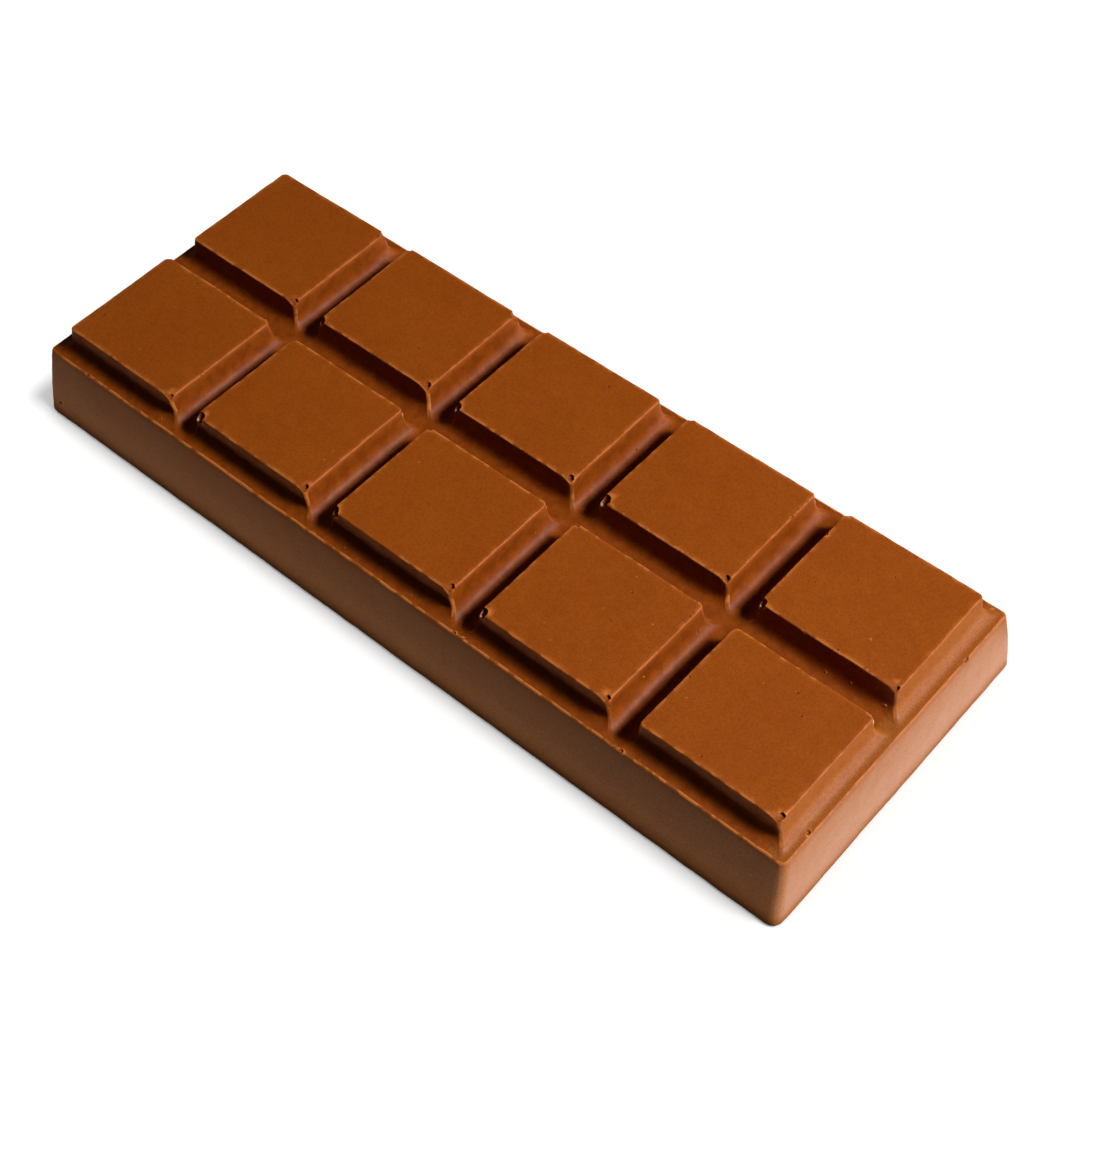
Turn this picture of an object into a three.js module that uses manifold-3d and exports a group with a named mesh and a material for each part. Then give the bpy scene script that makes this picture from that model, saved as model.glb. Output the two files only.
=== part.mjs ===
// A moulded bar of milk chocolate: two rows of raised tiles standing on one drafted slab.
// Millimetres. +X runs along the bar, +Y across it and +Z up, from the centre of the underside.
import * as THREE from "three";
import { mergeVertices } from "three/addons/utils/BufferGeometryUtils.js";
import Module from "manifold-3d";

// Whole bar
const BAR_HEIGHT = 14.6;
const BASE_LENGTH = 125;
const BASE_WIDTH = 49;
const BASE_CORNER = 1.5;
const BASE_EDGE = 0.4;

// Upper rim of the slab, where its drafted sides end in the ledge round the tiles
const RIM_LENGTH = 122.3;
const RIM_WIDTH = 44.7;
const RIM_CORNER = 0.75;
const RIM_EDGE = 0.5;

// Tiles: the sizes of the flat top face, and what leads down from it to the ledge
const TILES_LONG = 5;
const TILES_WIDE = 2;
const PITCH_LONG = 24.35;
const PITCH_WIDE = 22.3;
const TILE_LENGTH = 19.75;
const TILE_WIDTH = 17.75;
const TILE_CORNER = 1;
const TILE_RISE = 3.8;
const TILE_DRAFT = THREE.MathUtils.degToRad(7);
const COVE_RADIUS = 1.75;

const TILE_EDGE = 0.2;

// How a tile joins the slab: how deep its root is sunk, and how far its cove ends above the ledge
const TILE_ROOT = 1;
const FOOT_LIFT = 0.02;

// Smoothness: straight steps in each quarter turn, an even number round the corners
const CORNER_STEPS = 4;
const COVE_STEPS = 6;
const EDGE_STEPS = 3;

const RIM_Z = BAR_HEIGHT - TILE_RISE;
const QUARTER_TURN = Math.PI / 2;

// A rectangle with round corners, centred on the origin, as points in turning order. A path takes
// two steps along an arc for each division that it is asked for.
function roundedOutline({ halfX, halfY, corner }) {
  const path = new THREE.Path();
  path.absarc(halfX - corner, halfY - corner, corner, 0, QUARTER_TURN);
  path.absarc(corner - halfX, halfY - corner, corner, QUARTER_TURN, 2 * QUARTER_TURN);
  path.absarc(corner - halfX, corner - halfY, corner, 2 * QUARTER_TURN, 3 * QUARTER_TURN);
  path.absarc(halfX - corner, corner - halfY, corner, 3 * QUARTER_TURN, 4 * QUARTER_TURN);
  return path.getPoints(CORNER_STEPS / 2);
}

// One closed body through a stack of outlines, lowest first, with flat ends.
function loft(sections) {
  const outlines = sections.map(roundedOutline);
  const count = outlines[0].length;
  const positions = outlines.flatMap((outline, level) =>
    outline.flatMap((point) => [point.x, point.y, sections[level].z]));
  const indices = [];
  for (let level = 0; level < outlines.length - 1; level += 1) {
    for (let step = 0; step < count; step += 1) {
      const low = level * count + step;
      const lowNext = level * count + (step + 1) % count;
      indices.push(low, lowNext, lowNext + count);
      indices.push(low, lowNext + count, low + count);
    }
  }
  const top = (outlines.length - 1) * count;
  for (const [a, b, c] of THREE.ShapeUtils.triangulateShape(outlines[0], [])) {
    indices.push(a, c, b);
    indices.push(top + a, top + b, top + c);
  }
  const geometry = new THREE.BufferGeometry();
  geometry.setAttribute("position", new THREE.Float32BufferAttribute(positions, 3));
  geometry.setIndex(indices);
  return mergeVertices(geometry);
}

// How far a quarter round of the given radius stands in from its upright side, and how high above
// its start, at each step from the flat to the side.
function quarterRound(radius, steps) {
  const curve = new THREE.EllipseCurve(0, radius, radius, radius, -QUARTER_TURN, 0);
  return curve.getPoints(steps).map((point) => ({ inset: radius - point.x, rise: point.y }));
}

// The slab's sections: a rounded lower edge, the drafted sides and the rounded rim.
function slabSections() {
  const sectionAt = (z, inset) => {
    const share = z / RIM_Z;
    return {
      halfX: THREE.MathUtils.lerp(BASE_LENGTH, RIM_LENGTH, share) / 2 - inset,
      halfY: THREE.MathUtils.lerp(BASE_WIDTH, RIM_WIDTH, share) / 2 - inset,
      corner: THREE.MathUtils.lerp(BASE_CORNER, RIM_CORNER, share) - inset,
      z,
    };
  };
  const lower = quarterRound(BASE_EDGE, EDGE_STEPS)
    .map(({ inset, rise }) => sectionAt(rise, inset));
  const upper = quarterRound(RIM_EDGE, EDGE_STEPS)
    .map(({ inset, rise }) => sectionAt(RIM_Z - rise, inset));
  return [...lower, ...upper.reverse()];
}

// A tile's sections: a root inside the slab, the cove that leads up from the ledge, the steep
// drafted wall and the broken edge round the flat top.
function tileSections() {
  const spread = Math.tan(TILE_DRAFT);
  const coveZ = RIM_Z + FOOT_LIFT + COVE_RADIUS;
  const wallFootZ = coveZ - COVE_RADIUS * Math.sin(TILE_DRAFT);
  const coveOut = (BAR_HEIGHT - wallFootZ) * spread + COVE_RADIUS * Math.cos(TILE_DRAFT);
  const coveStart = 3 * QUARTER_TURN;
  const coveEnd = 2 * QUARTER_TURN + TILE_DRAFT;
  const cove = new THREE.EllipseCurve(
    coveOut, coveZ, COVE_RADIUS, COVE_RADIUS, coveStart, coveEnd, true);
  const section = (out, z) => ({
    halfX: TILE_LENGTH / 2 + out,
    halfY: TILE_WIDTH / 2 + out,
    corner: TILE_CORNER + Math.min(out, 0),
    z,
  });
  return [
    section(coveOut, RIM_Z - TILE_ROOT),
    ...cove.getPoints(COVE_STEPS).map((point) => section(point.x, point.y)),
    section(TILE_EDGE * spread, BAR_HEIGHT - TILE_EDGE),
    section(-TILE_EDGE, BAR_HEIGHT),
  ];
}

// Centres of the tiles, symmetrical about the middle of the bar.
function tileCentres() {
  const centres = [];
  for (let column = 0; column < TILES_LONG; column += 1) {
    for (let row = 0; row < TILES_WIDE; row += 1) {
      centres.push({
        x: (column - (TILES_LONG - 1) / 2) * PITCH_LONG,
        y: (row - (TILES_WIDE - 1) / 2) * PITCH_WIDE,
      });
    }
  }
  return centres;
}

const wasm = await Module();
wasm.setup();

// A closed geometry as a solid that can be joined.
function solidOf(geometry) {
  return new wasm.Manifold(new wasm.Mesh({
    numProp: 3,
    vertProperties: new Float32Array(geometry.attributes.position.array),
    triVerts: new Uint32Array(geometry.index.array),
  }));
}

// A joined solid as a geometry again.
function geometryOf(solid) {
  const mesh = solid.getMesh();
  const geometry = new THREE.BufferGeometry();
  geometry.setAttribute("position", new THREE.Float32BufferAttribute(mesh.vertProperties, 3));
  geometry.setIndex([...mesh.triVerts]);
  return geometry;
}

// The slab with every tile fused on: a moulded bar is one piece.
function barGeometry() {
  let bar = solidOf(loft(slabSections()));
  const tile = loft(tileSections());
  for (const { x, y } of tileCentres()) {
    bar = bar.add(solidOf(tile.clone().translate(x, y, 0)));
  }
  return geometryOf(bar);
}

const milkChocolate = new THREE.MeshStandardMaterial({
  color: "#87421a",
  roughness: 0.45,
  metalness: 0,
  flatShading: true,
});

const bar = new THREE.Mesh(barGeometry(), milkChocolate);
bar.name = "chocolate_bar";

const chocolate = new THREE.Group();
chocolate.add(bar);

export default chocolate;
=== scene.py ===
"""A moulded bar of milk chocolate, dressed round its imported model.

One fine closed mesh stands for the whole bar: ten drafted tiles with coved feet on a slab with a
rounded rim. Bubbles, notches and nicks are cut into it, and a few beads and crumbs lie on it.
Lengths are in metres, apart from the tables of marks, which are in millimetres. +X runs along the
bar, +Y across it and +Z up from its underside.
"""

from __future__ import annotations

import logging
import math
from dataclasses import dataclass, field
from enum import Enum
from typing import Any, Mapping, Sequence

import bmesh
import bpy
import numpy as np
from mathutils import Matrix, Vector, noise

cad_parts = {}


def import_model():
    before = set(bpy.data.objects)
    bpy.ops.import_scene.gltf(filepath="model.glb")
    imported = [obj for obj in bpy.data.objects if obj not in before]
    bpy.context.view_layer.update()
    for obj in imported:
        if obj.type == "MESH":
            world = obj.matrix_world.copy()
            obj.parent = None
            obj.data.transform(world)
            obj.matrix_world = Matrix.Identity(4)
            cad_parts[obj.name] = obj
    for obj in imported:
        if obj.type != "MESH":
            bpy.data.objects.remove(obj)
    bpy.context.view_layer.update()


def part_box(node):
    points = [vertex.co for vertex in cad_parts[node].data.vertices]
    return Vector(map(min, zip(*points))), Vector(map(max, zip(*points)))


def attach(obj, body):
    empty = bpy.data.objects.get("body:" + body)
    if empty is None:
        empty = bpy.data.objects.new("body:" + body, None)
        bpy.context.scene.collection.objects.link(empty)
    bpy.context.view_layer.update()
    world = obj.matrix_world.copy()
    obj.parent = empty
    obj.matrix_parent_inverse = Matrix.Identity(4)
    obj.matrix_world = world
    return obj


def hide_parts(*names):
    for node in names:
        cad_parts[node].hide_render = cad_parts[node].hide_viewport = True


Colour = tuple[float, float, float, float]
Triple = tuple[float, float, float]
Pair = tuple[float, float]

MM = 0.001
BAR_NODE = "chocolate_bar"
BODY = "root"
LAMP_LIFT = 0.2 * MM
PANEL_WATTS = 4.0
EDGE_HIGHLIGHT_LAYER = "edge"
SIDE_AND_SHEEN_LAYER = "side"
BEAD_HIGHLIGHT_LAYER = "bead"
HOLLOW_LAYER = "hollow"

log = logging.getLogger("chocolate")


# ---- Shader maths ----


class Value:
    """A number that a socket carries, so that shader maths reads as Python expressions."""

    def __init__(self, shader: Shader, socket: bpy.types.NodeSocket) -> None:
        """Wraps one output socket of a shader's tree."""
        self.shader = shader
        self.socket = socket

    def _math(self, operation: str, *operands: Any) -> Value:
        """Adds one Math node and gives its result."""
        node = self.shader.node("ShaderNodeMath", {"operation": operation}, dict(enumerate(operands)))
        return Value(self.shader, node.outputs[0])

    def __add__(self, other: Any) -> Value:
        """This value plus another."""
        return self._math("ADD", self, other)

    def __radd__(self, other: Any) -> Value:
        """A number plus this value."""
        return self._math("ADD", other, self)

    def __sub__(self, other: Any) -> Value:
        """This value less another."""
        return self._math("SUBTRACT", self, other)

    def __rsub__(self, other: Any) -> Value:
        """A number less this value."""
        return self._math("SUBTRACT", other, self)

    def __mul__(self, other: Any) -> Value:
        """This value times another."""
        return self._math("MULTIPLY", self, other)

    def __rmul__(self, other: Any) -> Value:
        """A number times this value."""
        return self._math("MULTIPLY", other, self)

    def ramp(self, low: float, high: float) -> Value:
        """A smooth step from 0 to 1.

        Args:
            low: where the step leaves 0.
            high: where it reaches 1.

        Returns:
            The stepped value.
        """
        settings = {"interpolation_type": "SMOOTHSTEP", "clamp": True}
        inputs = {"Value": self, "From Min": low, "From Max": high, "To Min": 0.0, "To Max": 1.0}
        node = self.shader.node("ShaderNodeMapRange", settings, inputs)
        return Value(self.shader, node.outputs["Result"])


class Shader:
    """A material under construction."""

    def __init__(self, name: str) -> None:
        """Starts an empty node tree with an output.

        Args:
            name: the material's name.
        """
        self.material = bpy.data.materials.new(name)
        self.material.use_nodes = True
        self.tree = self.material.node_tree
        self.tree.nodes.clear()
        self.output = self.tree.nodes.new("ShaderNodeOutputMaterial")

    def node(
        self,
        kind: str,
        settings: Mapping[str, Any] | None = None,
        inputs: Mapping[Any, Any] | None = None,
    ) -> bpy.types.Node:
        """Adds a node of any type.

        Args:
            kind: the node's type.
            settings: its properties, set before its sockets.
            inputs: the value or link of each socket, by name or by place.

        Returns:
            The new node.
        """
        node = self.tree.nodes.new(kind)
        for name, setting in (settings or {}).items():
            setattr(node, name, setting)
        for key, given in (inputs or {}).items():
            self.feed(node.inputs[key], given)
        return node

    def feed(self, socket: bpy.types.NodeSocket, given: Any) -> None:
        """Sets one socket.

        Args:
            socket: the input to set.
            given: a value, another node's socket, or a plain number or colour.
        """
        if isinstance(given, Value):
            given = given.socket
        if isinstance(given, bpy.types.NodeSocket):
            self.tree.links.new(given, socket)
        else:
            socket.default_value = given

    def place(self, scale: float, offset: Triple) -> bpy.types.NodeSocket:
        """The point being shaded, in the bar's own frame.

        Args:
            scale: what the point is multiplied by.
            offset: what is added to it after that.

        Returns:
            The socket that carries the point.
        """
        coordinates = self.node("ShaderNodeTexCoord")
        inputs = {0: coordinates.outputs["Object"], 1: (scale,) * 3, 2: offset}
        return self.node("ShaderNodeVectorMath", {"operation": "MULTIPLY_ADD"}, inputs).outputs[0]

    def noise(self, size: float, detail: float, offset: Triple = (0, 0, 0)) -> Value:
        """Smooth noise about 0.5.

        Args:
            size: the width of one patch, in metres.
            detail: how many finer layers are added.
            offset: moves the pattern, in patches.

        Returns:
            The noise.
        """
        inputs = {"Vector": self.place(1.0 / size, offset), "Scale": 1.0, "Detail": detail}
        node = self.node("ShaderNodeTexNoise", {"noise_dimensions": "3D"}, inputs)
        return Value(self, node.outputs[0])

    def cells(self, size: float, offset: Triple) -> tuple[Value, Value]:
        """Scattered points, one in each cell of a given width.

        Args:
            size: the width of a cell, in metres.
            offset: moves the pattern, in cells.

        Returns:
            How far the nearest point is, in cells, and a number of its own from 0 to 1.
        """
        inputs = {"Vector": self.place(1.0 / size, offset), "Scale": 1.0}
        node = self.node("ShaderNodeTexVoronoi", {"feature": "F1"}, inputs)
        split = self.node("ShaderNodeSeparateColor", {}, {0: node.outputs["Color"]})
        return Value(self, node.outputs["Distance"]), Value(self, split.outputs[0])

    def stored(self, layer: str) -> Value:
        """A number stored on the mesh under a given name."""
        node = self.node("ShaderNodeAttribute", {"attribute_name": layer})
        return Value(self, node.outputs["Fac"])

    def blend(self, share: Any, low: Any, high: Any) -> bpy.types.NodeSocket:
        """Mixes two colours.

        Args:
            share: how much of the second, from 0 to 1.
            low: the first colour, or its socket.
            high: the second colour, or its socket.

        Returns:
            The mixed colour's socket.
        """
        settings = {"data_type": "RGBA", "clamp_factor": True}
        node = self.node("ShaderNodeMix", settings, {0: share, 6: low, 7: high})
        return node.outputs[2]

    def surface(self, closure: bpy.types.Node) -> bpy.types.Material:
        """Sends a shader to the output and gives the finished material."""
        self.tree.links.new(closure.outputs[0], self.output.inputs["Surface"])
        return self.material


def rgba(red: float, green: float, blue: float) -> Colour:
    """An opaque colour from its linear parts."""
    return (red, green, blue, 1.0)


# ---- Finishes ----


@dataclass(frozen=True)
class Dots:
    """Small scattered dots. A share of the cells stays empty, and each other one holds a dot."""

    cell: float
    radius: float
    empty: float
    offset: Triple
    fade: float = 0.3

    def mask(self, shader: Shader) -> Value:
        """A mask, 1 in the dots."""
        distance, chance = shader.cells(self.cell, self.offset)
        round_dot = 1 - distance.ramp(self.radius / 2, self.radius)
        return round_dot * chance.ramp(self.empty, self.empty + self.fade)


@dataclass(frozen=True)
class MilkChocolate:
    """Milk chocolate out of a mould: satin, faintly mottled, with fine grain and pale specks. Highlights
    on its edges and beads, a sheen at the right end and shade in its hollows are painted into its colour.
    """

    body: Colour = rgba(0.235, 0.0500, 0.0025)
    deep: Colour = rgba(0.205, 0.0405, 0.0018)
    warm: Colour = rgba(0.262, 0.0595, 0.0034)
    # The slab's sides are paler; the same colour is painted as a sheen on the ledge at the right end.
    side: Colour = rgba(0.238, 0.0790, 0.0135)
    # Painted shade for the hollows under the tops, mottled by the blotches.
    shade: Colour = rgba(0.120, 0.0190, 0.0006)
    speck: Colour = rgba(0.42, 0.20, 0.085)
    fleck: Colour = rgba(0.090, 0.018, 0.003)
    # Colour of the painted highlights on the edges.
    edge: Colour = rgba(0.50, 0.150, 0.030)
    # Colour of the painted highlights on the beads.
    bead: Colour = rgba(0.80, 0.50, 0.28)
    body_share: float = 0.45
    side_and_sheen_share: float = 0.6
    grain_share: float = 0.38
    mottle_and_shade_share: float = 0.42
    edge_highlight_share: float = 0.80
    speck_share: float = 0.35
    bead_highlight_share: float = 0.45
    tone_mix: Triple = (0.4, 0.35, 0.55)
    tone_shift: float = 0.15
    tone_range: Pair = (0.28, 0.72)
    grain_range: Pair = (0.40, 0.66)
    mottle_range: Pair = (0.40, 0.62)
    even_shade: float = 0.4
    edge_highlight_range: Pair = (0.42, 0.58)
    edge_highlight_least: float = 0.2
    cloud: float = 9 * MM
    blotch: float = 1.6 * MM
    blotch_offset: Triple = (3.1, 7.7, 1.3)
    grain: float = 0.22 * MM
    grain_offset: Triple = (9.2, 4.4, 6.1)
    specks: Dots = Dots(1.9 * MM, 0.08, 0.60, (5.5, 2.2, 8.8))
    flecks: Dots = Dots(2.6 * MM, 0.07, 0.55, (1.7, 6.3, 2.9))
    grain_height: float = 0.018 * MM
    wave_height: float = 0.030 * MM
    speck_height: float = 0.03 * MM
    fleck_depth: float = 0.06 * MM
    roughness: float = 0.48
    roughness_swing: float = 0.10
    sheen: float = 0.17
    ior: float = 1.46

    def material(self, name: str) -> bpy.types.Material:
        """Builds the finish.

        Args:
            name: the material's name.

        Returns:
            The material.
        """
        shader = Shader(name)
        clouds = shader.noise(self.cloud, 2.0)
        blotches = shader.noise(self.blotch, 3.0, self.blotch_offset)
        grain = shader.noise(self.grain, 2.0, self.grain_offset)
        specks = self.specks.mask(shader)
        flecks = self.flecks.mask(shader)
        hollow = shader.stored(HOLLOW_LAYER)

        cloud_part, blotch_part, grain_part = self.tone_mix
        tone = clouds * cloud_part + blotches * blotch_part + grain * grain_part - self.tone_shift
        # The slab's sides, and a painted sheen on the ledge and coves at the right end.
        sides = shader.stored(SIDE_AND_SHEEN_LAYER) * (self.side_and_sheen_share + clouds * self.side_and_sheen_share)
        # Painted shade in the hollows: partly even, partly real mottling from the blotches.
        mottles_and_shade = (blotches.ramp(*self.mottle_range) + self.even_shade) * hollow
        # Painted highlights along the sharply bent edges of the skin.
        edges = shader.stored(EDGE_HIGHLIGHT_LAYER) * (self.edge_highlight_least + blotches.ramp(*self.edge_highlight_range))
        colour = shader.blend(tone.ramp(*self.tone_range), self.deep, self.warm)
        for share, coat in (
            (self.body_share, self.body),
            (sides, self.side),
            (grain.ramp(*self.grain_range) * self.grain_share, self.fleck),
            (mottles_and_shade * self.mottle_and_shade_share, self.shade),
            (edges * self.edge_highlight_share, self.edge),
            (flecks, self.fleck),
            (specks * self.speck_share, self.speck),
            # Painted highlights on the beads.
            (shader.stored(BEAD_HIGHLIGHT_LAYER) * self.bead_highlight_share, self.bead),
        ):
            colour = shader.blend(share, colour, coat)

        height = grain * self.grain_height + blotches * (1 + hollow) * self.wave_height
        height = height + specks * self.speck_height - flecks * self.fleck_depth
        bump = shader.node("ShaderNodeBump", {}, {"Strength": 1.0, "Distance": 1.0, "Height": height})
        inputs = {
            "Base Color": colour,
            "Roughness": self.roughness + (blotches - 0.5) * self.roughness_swing,
            "IOR": self.ior,
            "Specular IOR Level": self.sheen,
            "Normal": bump.outputs[0],
        }
        return shader.surface(shader.node("ShaderNodeBsdfPrincipled", {}, inputs))


@dataclass(frozen=True)
class WhiteFloor:
    """A matt white studio floor."""

    clean: Colour = rgba(0.92, 0.92, 0.92)
    worn: Colour = rgba(0.90, 0.90, 0.90)
    patch: float = 3 * MM
    roughness: float = 0.9
    sheen: float = 0.1

    def material(self, name: str) -> bpy.types.Material:
        """Builds the finish.

        Args:
            name: the material's name.

        Returns:
            The material.
        """
        shader = Shader(name)
        colour = shader.blend(shader.noise(self.patch, 3.0), self.clean, self.worn)
        inputs = {"Base Color": colour, "Roughness": self.roughness, "Specular IOR Level": self.sheen}
        return shader.surface(shader.node("ShaderNodeBsdfPrincipled", {}, inputs))


# ---- Sides, corners and steps ----


def heading(quarters: float) -> np.ndarray:
    """The direction, from above, that lies a number of quarter turns from +X."""
    angle = quarters * math.pi / 2
    return np.array([math.cos(angle), math.sin(angle)])


class Side(Enum):
    """The sides of a tile, or of the slab, in turning order from above."""

    EAST = 0
    NORTH = 1
    WEST = 2
    SOUTH = 3

    @property
    def direction(self) -> np.ndarray:
        """The direction that the side faces, from above."""
        return heading(self.value)

    @property
    def end_on(self) -> bool:
        """Whether the side faces along the bar, as the bar's two ends do."""
        return self in (Side.EAST, Side.WEST)


class Corner(Enum):
    """The corners of a tile from above, by the signs of their X and Y."""

    FRONT_RIGHT = (1, -1)
    BACK_RIGHT = (1, 1)
    BACK_LEFT = (-1, 1)
    FRONT_LEFT = (-1, -1)


def box_corners(reach: Mapping[Side, float]) -> np.ndarray:
    """The corners of a box in turning order, each one after its side, from its reach to each side."""
    east, north, west, south = (reach[side] for side in Side)
    return np.array([(east, north), (-west, north), (-west, -south), (east, -south)])


CORNER_SIGNS = box_corners(dict.fromkeys(Side, 1))


def even_steps(start: float, end: float, steps: int) -> np.ndarray:
    """Numbers from start to end in even steps."""
    return np.linspace(start, end, steps + 1)


def smooth_step(values: np.ndarray) -> np.ndarray:
    """Values held between 0 and 1 and eased at both ends."""
    held = np.clip(values, 0, 1)
    return held * held * (3 - 2 * held)


def corner_path(
    side: Side, inner: np.ndarray, corner: np.ndarray, radius: float, steps: int
) -> np.ndarray:
    """A path round the corner after a side, from level with an inner point to upright over it.

    Args:
        side: the side that the path comes from.
        inner: the point that the path turns round.
        corner: where the two sides would meet.
        radius: how round the corner is.
        steps: how many steps the path has, with its middle on the corner.

    Returns:
        The points in turning order, without the last one.
    """
    away = np.sign(corner - inner)
    straight = np.abs(corner - inner) - radius
    turn = radius * math.pi / 4
    points = []
    for step in range(steps + 1):
        share = 2 * step / steps
        first = share <= 1
        leg = straight[1] if first else straight[0]
        gone = (leg + turn) * (share if first else 2 - share)
        if gone <= leg:
            offset = np.array([straight[0] + radius, gone] if first else [gone, straight[1] + radius])
        else:
            angle = (gone - leg) / radius if radius else 0.0
            bend = radius * np.array([math.cos(angle), math.sin(angle)])
            offset = straight + (bend if first else bend[::-1])
        points.append(inner + away * offset)
    return np.array(points if side.end_on else points[::-1])[:-1]


def new_object(name: str, data: bpy.types.ID) -> bpy.types.Object:
    """Makes an object and puts it into the scene.

    Args:
        name: its name.
        data: its mesh, light or camera.

    Returns:
        The object.
    """
    made = bpy.data.objects.new(name, data)
    bpy.context.scene.collection.objects.link(made)
    return made


# ---- The bar's surface ----


@dataclass(frozen=True)
class TileShape:
    """The shape that every tile shares: a flat top, drafted walls and a coved foot."""

    length: float = 19.75 * MM
    width: float = 17.75 * MM
    rise: float = 3.8 * MM
    corner: float = 1.0 * MM
    corner_radii: tuple[float, ...] = (0.6 * MM, 0.9 * MM, 0.65 * MM, 0.45 * MM)
    draft: float = math.radians(7)
    cove: float = 1.75 * MM
    edge: float = 0.2 * MM
    station: float = 0.5 * MM
    corner_steps: int = 8
    edge_steps: int = 4
    wall_steps: int = 5
    cove_steps: int = 9
    top_insets: tuple[float, ...] = (1.5 * MM, 1.1 * MM, 0.75 * MM, 0.42 * MM)

    @property
    def half(self) -> np.ndarray:
        """Half the length and half the width of the top."""
        return np.array([self.length / 2, self.width / 2])

    @property
    def wall_foot(self) -> float:
        """How far under the top the wall turns into the cove."""
        return self.rise - self.cove * (1 - math.sin(self.draft))

    @property
    def foot_out(self) -> float:
        """How far the cove reaches out from the edge of the top."""
        return self.wall_foot * math.tan(self.draft) + self.cove * math.cos(self.draft)

    def half_towards(self, side: Side) -> float:
        """How far the top reaches from its middle towards a side."""
        return (self.length if side.end_on else self.width) / 2

    def stations(self, side: Side) -> np.ndarray:
        """Even shares from 0 to 1 along a side, the same at every level."""
        full = self.width if side.end_on else self.length
        return even_steps(0, 1, round((full - 2 * self.corner) / self.station))

    def section(self, reach: float) -> np.ndarray:
        """The section from the flat top to the foot.

        Args:
            reach: how far out the section may go; the cove stops there.

        Returns:
            Rows of the distance out from the edge of the top and the height under it.
        """
        turn = math.pi / 2 - self.draft
        start = self.edge * math.tan(turn / 2)
        rows = [(-inset, 0.0) for inset in self.top_insets]
        for angle in even_steps(0, turn, self.edge_steps):
            rows.append((self.edge * math.sin(angle) - start, self.edge * (1 - math.cos(angle))))
        for drop in even_steps(rows[-1][1], self.wall_foot, self.wall_steps)[1:]:
            rows.append((drop * math.tan(self.draft), drop))
        end = math.acos(max(0.0, (self.foot_out - reach) / self.cove))
        for angle in even_steps(self.draft, end, self.cove_steps)[1:]:
            drop = self.rise - self.cove * (1 - math.sin(angle))
            rows.append((self.foot_out - self.cove * math.cos(angle), drop))
        return np.array(rows)


class Loops:
    """Closed loops of points, bridged one after another into faces."""

    def __init__(self) -> None:
        """Starts with nothing."""
        self.points: list[np.ndarray] = []
        self.faces: list[list[int]] = []
        self.count = 0

    def add(self, points: np.ndarray) -> np.ndarray:
        """Adds points.

        Args:
            points: their places.

        Returns:
            Their numbers.
        """
        self.points.append(points)
        numbers = np.arange(self.count, self.count + len(points))
        self.count += len(points)
        return numbers

    def bridge(self, *loops: np.ndarray) -> None:
        """Joins loops of the same length by bands of faces, innermost loop first."""
        for inner, outer in zip(loops, loops[1:]):
            self.faces += np.stack([inner, outer, np.roll(outer, -1), np.roll(inner, -1)], 1).tolist()

    def grid(self, numbers: np.ndarray) -> None:
        """Fills a grid of point numbers, rows along Y and columns along X."""
        corners = (numbers[:-1, :-1], numbers[:-1, 1:], numbers[1:, 1:], numbers[1:, :-1])
        self.faces += np.stack(corners, 2).reshape(-1, 4).tolist()


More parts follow.
